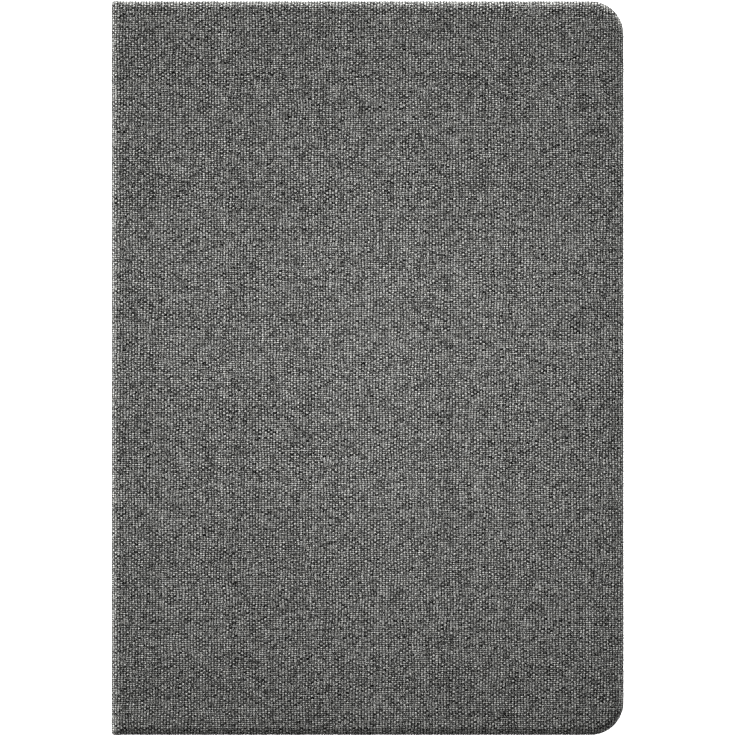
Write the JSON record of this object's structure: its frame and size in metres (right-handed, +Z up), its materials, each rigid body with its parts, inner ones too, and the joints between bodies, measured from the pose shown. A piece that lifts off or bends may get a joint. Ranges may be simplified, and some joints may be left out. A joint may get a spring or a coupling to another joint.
{
  "type": "tablet keyboard case",
  "caption": "Fabric-covered folio case for a tablet: a snap-in tray with a fold-out stand, a two-crease spine and a cover that holds a keyboard and trackpad.",
  "frame": {"origin": "on the surface that the closed case lies on, under the middle of its box", "axes": "+Z up through the keyboard cover's outer face, +Y along the spine, +X from the spine to the free edge"},
  "size_m": [0.1816, 0.26, 0.021],
  "materials": {
    "heather_fabric": "dark grey heathered plain weave",
    "microfibre_lining": "brushed microfibre",
    "graphite_plastic": "fine spark-eroded texture",
    "keycap_plastic": "matte",
    "steel": "satin",
    "silicone_rubber": "translucent matte",
    "circuit_laminate": "solder mask",
    "battery_film": "foil pouch",
    "lens_plastic": "clear"
  },
  "bodies": {
    "back": {"back_cover_fabric": "heather_fabric", "back_board": "graphite_plastic", "tablet_tray": "graphite_plastic", "tray_lining": "microfibre_lining", "camera_bezel": "graphite_plastic", "stand_hinge_left": "steel", "stand_hinge_right": "steel"},
    "stand": {"stand_plate": "graphite_plastic", "stand_fabric": "heather_fabric"},
    "spine": {"spine_fabric": "heather_fabric", "spine_board": "graphite_plastic", "spine_lining": "microfibre_lining", "rear_crease": "heather_fabric", "front_crease": "heather_fabric"},
    "keyboard_cover": {"cover_fabric": "heather_fabric", "cover_board": "graphite_plastic", "keyboard_deck": "graphite_plastic", "key_frame": "graphite_plastic", "key_plate": "steel", "dome_sheet": "silicone_rubber", "main_board": "circuit_laminate", "battery": "battery_film", "charge_port": "steel", "status_light": "lens_plastic", "closing_magnet": "steel"},
    "volume_rocker": {"volume_rocker": "graphite_plastic"},
    "power_button": {"power_button": "graphite_plastic"},
    "power_switch": {"power_switch": "graphite_plastic"},
    "trackpad": {"trackpad": "graphite_plastic"},
    "key_q": {"key_q": "keycap_plastic"},
    "key_w": {"key_w": "keycap_plastic"},
    "key_e": {"key_e": "keycap_plastic"},
    "key_r": {"key_r": "keycap_plastic"},
    "key_t": {"key_t": "keycap_plastic"},
    "key_y": {"key_y": "keycap_plastic"},
    "key_u": {"key_u": "keycap_plastic"},
    "key_i": {"key_i": "keycap_plastic"},
    "key_o": {"key_o": "keycap_plastic"},
    "key_p": {"key_p": "keycap_plastic"},
    "key_a": {"key_a": "keycap_plastic"},
    "key_s": {"key_s": "keycap_plastic"},
    "key_d": {"key_d": "keycap_plastic"},
    "key_f": {"key_f": "keycap_plastic"},
    "key_g": {"key_g": "keycap_plastic"},
    "key_h": {"key_h": "keycap_plastic"},
    "key_j": {"key_j": "keycap_plastic"},
    "key_k": {"key_k": "keycap_plastic"},
    "key_l": {"key_l": "keycap_plastic"},
    "key_z": {"key_z": "keycap_plastic"},
    "key_x": {"key_x": "keycap_plastic"},
    "key_c": {"key_c": "keycap_plastic"},
    "key_v": {"key_v": "keycap_plastic"},
    "key_b": {"key_b": "keycap_plastic"},
    "key_n": {"key_n": "keycap_plastic"},
    "key_m": {"key_m": "keycap_plastic"},
    "shortcut_keys": {"shortcut_keys": "keycap_plastic"},
    "number_keys": {"number_keys": "keycap_plastic"},
    "left_side_keys": {"left_side_keys": "keycap_plastic"},
    "right_side_keys": {"right_side_keys": "keycap_plastic"},
    "bottom_keys": {"bottom_keys": "keycap_plastic"}
  },
  "joints": [
    {"name": "rear_crease_fold", "type": "hinge", "parent": "back", "child": "spine", "pos_m": [-0.0901, 0, 0.00065], "axis": [0, -1, 0], "range_deg": [0, 90], "deforming": ["rear_crease"]},
    {"name": "front_crease_fold", "type": "hinge", "parent": "spine", "child": "keyboard_cover", "pos_m": [-0.0901, 0, 0.02035], "axis": [0, -1, 0], "range_deg": [0, 90], "deforming": ["front_crease"]},
    {"name": "stand_hinge", "type": "hinge", "parent": "back", "child": "stand", "pos_m": [-0.0015, 0, 0.0012], "axis": [0, -1, 0], "range_deg": [0, 60]},
    {"name": "volume_press", "type": "hinge", "parent": "back", "child": "volume_rocker", "pos_m": [0.08915, 0.084, 0.008], "axis": [0, 0, 1], "range_deg": [-1.5, 1.5], "stiffness_Nm_per_rad": 0.3},
    {"name": "power_press", "type": "slide", "parent": "back", "child": "power_button", "axis": [0, -1, 0], "range_m": [0, 0.0003], "stiffness_N_per_m": 1500, "springref_m": -0.0003},
    {"name": "power_switch_slide", "type": "slide", "parent": "keyboard_cover", "child": "power_switch", "axis": [1, 0, 0], "range_m": [0, 0.0025]},
    {"name": "trackpad_click", "type": "slide", "parent": "keyboard_cover", "child": "trackpad", "axis": [0, 0, 1], "range_m": [0, 0.0004], "stiffness_N_per_m": 4000, "springref_m": -0.0003},
    {"name": "key_q_press", "type": "slide", "parent": "keyboard_cover", "child": "key_q", "axis": [0, 0, 1], "range_m": [0, 0.0012], "stiffness_N_per_m": 460, "springref_m": -0.0003, "deforming": ["dome_sheet"]},
    {"name": "key_w_press", "type": "slide", "parent": "keyboard_cover", "child": "key_w", "axis": [0, 0, 1], "range_m": [0, 0.0012], "stiffness_N_per_m": 460, "springref_m": -0.0003},
    {"name": "key_e_press", "type": "slide", "parent": "keyboard_cover", "child": "key_e", "axis": [0, 0, 1], "range_m": [0, 0.0012], "stiffness_N_per_m": 460, "springref_m": -0.0003},
    {"name": "key_r_press", "type": "slide", "parent": "keyboard_cover", "child": "key_r", "axis": [0, 0, 1], "range_m": [0, 0.0012], "stiffness_N_per_m": 460, "springref_m": -0.0003},
    {"name": "key_t_press", "type": "slide", "parent": "keyboard_cover", "child": "key_t", "axis": [0, 0, 1], "range_m": [0, 0.0012], "stiffness_N_per_m": 460, "springref_m": -0.0003},
    {"name": "key_y_press", "type": "slide", "parent": "keyboard_cover", "child": "key_y", "axis": [0, 0, 1], "range_m": [0, 0.0012], "stiffness_N_per_m": 460, "springref_m": -0.0003},
    {"name": "key_u_press", "type": "slide", "parent": "keyboard_cover", "child": "key_u", "axis": [0, 0, 1], "range_m": [0, 0.0012], "stiffness_N_per_m": 460, "springref_m": -0.0003},
    {"name": "key_i_press", "type": "slide", "parent": "keyboard_cover", "child": "key_i", "axis": [0, 0, 1], "range_m": [0, 0.0012], "stiffness_N_per_m": 460, "springref_m": -0.0003},
    {"name": "key_o_press", "type": "slide", "parent": "keyboard_cover", "child": "key_o", "axis": [0, 0, 1], "range_m": [0, 0.0012], "stiffness_N_per_m": 460, "springref_m": -0.0003},
    {"name": "key_p_press", "type": "slide", "parent": "keyboard_cover", "child": "key_p", "axis": [0, 0, 1], "range_m": [0, 0.0012], "stiffness_N_per_m": 460, "springref_m": -0.0003},
    {"name": "key_a_press", "type": "slide", "parent": "keyboard_cover", "child": "key_a", "axis": [0, 0, 1], "range_m": [0, 0.0012], "stiffness_N_per_m": 460, "springref_m": -0.0003},
    {"name": "key_s_press", "type": "slide", "parent": "keyboard_cover", "child": "key_s", "axis": [0, 0, 1], "range_m": [0, 0.0012], "stiffness_N_per_m": 460, "springref_m": -0.0003},
    {"name": "key_d_press", "type": "slide", "parent": "keyboard_cover", "child": "key_d", "axis": [0, 0, 1], "range_m": [0, 0.0012], "stiffness_N_per_m": 460, "springref_m": -0.0003},
    {"name": "key_f_press", "type": "slide", "parent": "keyboard_cover", "child": "key_f", "axis": [0, 0, 1], "range_m": [0, 0.0012], "stiffness_N_per_m": 460, "springref_m": -0.0003},
    {"name": "key_g_press", "type": "slide", "parent": "keyboard_cover", "child": "key_g", "axis": [0, 0, 1], "range_m": [0, 0.0012], "stiffness_N_per_m": 460, "springref_m": -0.0003},
    {"name": "key_h_press", "type": "slide", "parent": "keyboard_cover", "child": "key_h", "axis": [0, 0, 1], "range_m": [0, 0.0012], "stiffness_N_per_m": 460, "springref_m": -0.0003},
    {"name": "key_j_press", "type": "slide", "parent": "keyboard_cover", "child": "key_j", "axis": [0, 0, 1], "range_m": [0, 0.0012], "stiffness_N_per_m": 460, "springref_m": -0.0003},
    {"name": "key_k_press", "type": "slide", "parent": "keyboard_cover", "child": "key_k", "axis": [0, 0, 1], "range_m": [0, 0.0012], "stiffness_N_per_m": 460, "springref_m": -0.0003},
    {"name": "key_l_press", "type": "slide", "parent": "keyboard_cover", "child": "key_l", "axis": [0, 0, 1], "range_m": [0, 0.0012], "stiffness_N_per_m": 460, "springref_m": -0.0003},
    {"name": "key_z_press", "type": "slide", "parent": "keyboard_cover", "child": "key_z", "axis": [0, 0, 1], "range_m": [0, 0.0012], "stiffness_N_per_m": 460, "springref_m": -0.0003},
    {"name": "key_x_press", "type": "slide", "parent": "keyboard_cover", "child": "key_x", "axis": [0, 0, 1], "range_m": [0, 0.0012], "stiffness_N_per_m": 460, "springref_m": -0.0003},
    {"name": "key_c_press", "type": "slide", "parent": "keyboard_cover", "child": "key_c", "axis": [0, 0, 1], "range_m": [0, 0.0012], "stiffness_N_per_m": 460, "springref_m": -0.0003},
    {"name": "key_v_press", "type": "slide", "parent": "keyboard_cover", "child": "key_v", "axis": [0, 0, 1], "range_m": [0, 0.0012], "stiffness_N_per_m": 460, "springref_m": -0.0003},
    {"name": "key_b_press", "type": "slide", "parent": "keyboard_cover", "child": "key_b", "axis": [0, 0, 1], "range_m": [0, 0.0012], "stiffness_N_per_m": 460, "springref_m": -0.0003},
    {"name": "key_n_press", "type": "slide", "parent": "keyboard_cover", "child": "key_n", "axis": [0, 0, 1], "range_m": [0, 0.0012], "stiffness_N_per_m": 460, "springref_m": -0.0003},
    {"name": "key_m_press", "type": "slide", "parent": "keyboard_cover", "child": "key_m", "axis": [0, 0, 1], "range_m": [0, 0.0012], "stiffness_N_per_m": 460, "springref_m": -0.0003},
    {"name": "shortcut_keys_press", "type": "slide", "parent": "keyboard_cover", "child": "shortcut_keys", "axis": [0, 0, 1], "range_m": [0, 0.0012], "stiffness_N_per_m": 6440, "springref_m": -0.0003},
    {"name": "number_keys_press", "type": "slide", "parent": "keyboard_cover", "child": "number_keys", "axis": [0, 0, 1], "range_m": [0, 0.0012], "stiffness_N_per_m": 6440, "springref_m": -0.0003},
    {"name": "left_side_keys_press", "type": "slide", "parent": "keyboard_cover", "child": "left_side_keys", "axis": [0, 0, 1], "range_m": [0, 0.0012], "stiffness_N_per_m": 1380, "springref_m": -0.0003},
    {"name": "right_side_keys_press", "type": "slide", "parent": "keyboard_cover", "child": "right_side_keys", "axis": [0, 0, 1], "range_m": [0, 0.0012], "stiffness_N_per_m": 4600, "springref_m": -0.0003},
    {"name": "bottom_keys_press", "type": "slide", "parent": "keyboard_cover", "child": "bottom_keys", "axis": [0, 0, 1], "range_m": [0, 0.0012], "stiffness_N_per_m": 5060, "springref_m": -0.0003}
  ]
}
